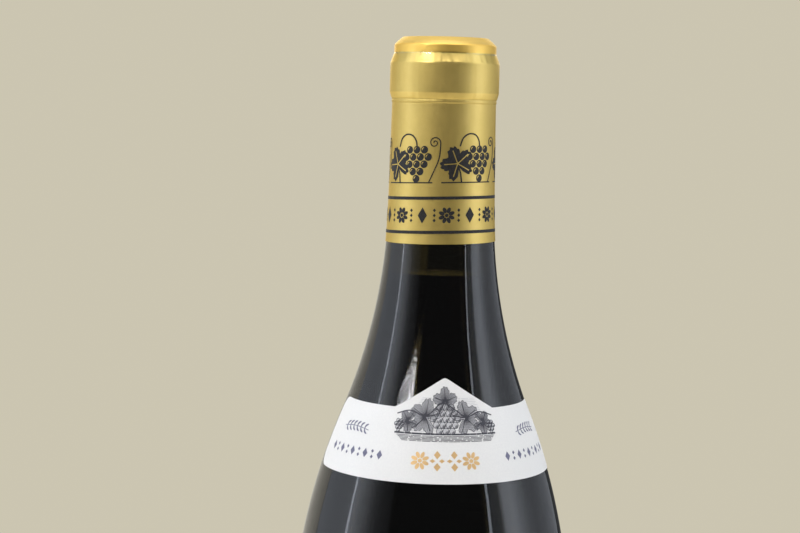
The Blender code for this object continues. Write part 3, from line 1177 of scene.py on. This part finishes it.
# %% Floor and surround
FLOOR_RADIUS = 0.66
FLOOR_DROP = 0.2 * MM
FLOOR_TONE = (0.70, 0.66, 0.56, 1.0)
WALL_TONE = (0.60, 0.56, 0.44, 1.0)
ROOM_TONE = (0.95, 0.97, 1.0, 1.0)
ROOM_GLOW = 0.08


def add_floor():
    material = new_material("pale_floor", Base_Color=FLOOR_TONE, Roughness=0.8)[0]
    bm = bmesh.new()
    bmesh.ops.create_circle(bm, cap_ends=True, segments=128, radius=FLOOR_RADIUS)
    floor = finish_mesh("floor", bm, material)
    floor.location.z = -FLOOR_DROP


def add_surround():
    """A pale wall for the camera, and a dim room for everything else."""
    world = bpy.data.worlds.new("surround")
    world.use_nodes = True
    tree = world.node_tree
    room = tree.nodes["Background"]
    room.inputs["Color"].default_value = ROOM_TONE
    room.inputs["Strength"].default_value = ROOM_GLOW
    wall = add_node(tree, "ShaderNodeBackground", Color=WALL_TONE)
    path = add_node(tree, "ShaderNodeLightPath")
    mix = add_node(tree, "ShaderNodeMixShader", Fac=path.outputs["Is Camera Ray"])
    tree.links.new(room.outputs["Background"], mix.inputs[1])
    tree.links.new(wall.outputs["Background"], mix.inputs[2])
    tree.links.new(mix.outputs["Shader"], tree.nodes["World Output"].inputs["Surface"])
    bpy.context.scene.world = world


add_floor()
add_surround()
print("floor radius", FLOOR_RADIUS, "m")

# %% [markdown]
# Area lights stand for the room. A wide ceiling, too high to show in the glass, lights
# the label and the foil's slopes. Two panels behind the bottle, a wall and the rest
# of the ceiling, give the glass its lit edges.

# %% Plain panels
AIM = Vector((0.0, 0.0, height(70.0 * MM)))
WINDOW_DISTANCE = 1.1
DAYLIGHT = (0.83, 0.89, 1.0)
WALL_TINT = (1.0, 0.95, 0.82)
CEILING_TINT = (1.0, 0.99, 0.97)


def add_panel(name, side_angle, rise_angle, distance, width, tall, brightness, colour):
    """An area light; side_angle is to the right of the line towards the camera."""
    side = math.radians(side_angle) + CAMERA_SIDE_STEP
    rise = math.radians(rise_angle)
    away = Vector((math.sin(side) * math.cos(rise), -math.cos(side) * math.cos(rise), math.sin(rise)))
    data = bpy.data.lights.new(name, "AREA")
    data.shape = "RECTANGLE"
    data.size = width
    data.size_y = tall
    data.energy = brightness * math.pi * width * tall
    data.color = colour
    light = bpy.data.objects.new(name, data)
    light.location = AIM + away * distance
    light.rotation_euler = away.to_track_quat("Z", "Y").to_euler()
    light.visible_camera = False
    bpy.context.scene.collection.objects.link(light)
    return light


add_panel("ceiling", 0, 68, 1.2, 1.9, 1.1, 2.35, CEILING_TINT)
add_panel("back_wall", 180, 20, 1.3, 1.5, 0.75, 1.4, WALL_TINT)
add_panel("back_ceiling", 180, 60, 1.3, 1.9, 0.9, 1.05, CEILING_TINT)
print("panels aim at height", round(AIM.z, 3))

# %% [markdown]
# Tall windows at both sides make the upright bands on the foil and the glass. A real
# window isn't even, so each panel has a ramp across it. Its keys pair an angle to the
# right of the line towards the camera, in degrees, with a brightness.

# %% Windows with a ramp across
WINDOW_RISE = 4.0
WINDOW_TALL = 1.9
LEFT_WALL = ((-176, 0.55), (-124, 0.7))
LEFT_WINDOW = (
    (-124, 0.7), (-106, 0.95), (-92, 1.2), (-83.6, 1.5), (-83.0, 5.5), (-81.4, 5.5),
    (-80.8, 2.2), (-74, 1.7), (-66, 1.1), (-58, 0.45), (-50, 0.2), (-40, 0.08),
)
RIGHT_WINDOW = (
    (52.6, 0.2), (53.2, 3.6), (55.0, 3.6), (55.8, 0.4), (65.5, 0.5),
    (70.5, 2.4), (80, 2.7), (88, 1.8), (98, 1.0), (108, 0.65),
)
RIGHT_FAR = ((108, 0.65), (125, 0.55), (150, 0.4))


def panel_nodes(light):
    """A panel's nodes, and a point's place on it: both shares, across and upwards."""
    light.data.use_nodes = True
    tree = light.data.node_tree
    place = add_node(tree, "ShaderNodeNewGeometry").outputs["Parametric"]
    split = add_node(tree, "ShaderNodeSeparateXYZ", Vector=place)
    return tree, place, split.outputs["X"], split.outputs["Y"]


def add_window(name, keys, colour):
    """A wide panel; its keys come in rising order of angle."""
    first, last = keys[0][0], keys[-1][0]
    middle = 0.5 * (first + last)
    half_width = math.tan(math.radians(0.5 * (last - first)))
    peak = max(brightness for angle, brightness in keys)
    light = add_panel(name, middle, WINDOW_RISE, WINDOW_DISTANCE,
                      2.0 * WINDOW_DISTANCE * half_width, WINDOW_TALL, peak, colour)
    tree, place, across, up = panel_nodes(light)
    ramp = add_node(tree, "ShaderNodeValToRGB", Fac=across)
    stops = ramp.color_ramp.elements
    for index, (angle, brightness) in enumerate(keys):
        stop = stops[index] if index < 2 else stops.new(1.0)
        stop.position = 0.5 + 0.5 * math.tan(math.radians(angle - middle)) / half_width
        level = brightness / peak
        stop.color = (level, level, level, 1.0)
    tree.links.new(ramp.outputs["Color"], tree.nodes["Emission"].inputs["Strength"])


add_window("left_window", LEFT_WINDOW, DAYLIGHT)
add_window("left_wall", LEFT_WALL, WALL_TINT)
add_window("right_window", RIGHT_WINDOW, DAYLIGHT)
add_window("right_far", RIGHT_FAR, DAYLIGHT)
print("windows stand", WINDOW_DISTANCE, "m away")

# %% [markdown]
# Low sun comes through foliage at the left. The foil and the glass show it as a
# bright patch, whole at its upper right and broken into specks towards its lower
# left. Noise is added to a slope of values across the panel, and the sum is cut off.

# %% Key light through foliage
KEY_TINT = (0.93, 0.94, 1.0)
SPECK_STRETCH = (13.0, 34.0, 1.0)


def add_key():
    light = add_panel("key_panel", -45.7, 27.2, 1.2, 0.50, 0.40, 23.0, KEY_TINT)
    tree, place, across, up = panel_nodes(light)
    place = add_node(tree, "ShaderNodeMapping", Vector=place, Scale=SPECK_STRETCH).outputs["Vector"]
    specks = add_node(tree, "ShaderNodeTexNoise", Vector=place, Scale=1.0, Detail=2.0)
    level = combine(tree, "ADD", remap(tree, across, -0.75, 1.05, 0.0, 1.0),
                    remap(tree, up, 0.0, 0.9, 0.0, 1.0))
    level = combine(tree, "ADD", level, remap(tree, up, -1.5, 0.0, 0.06, 0.31))
    level = combine(tree, "ADD", level, remap(tree, specks.outputs["Fac"], -1.3, 1.3, 0.40, 0.58))
    shine = remap(tree, level, 0.0, 1.0, 1.08, 1.30)
    tree.links.new(shine, tree.nodes["Emission"].inputs["Strength"])


add_key()
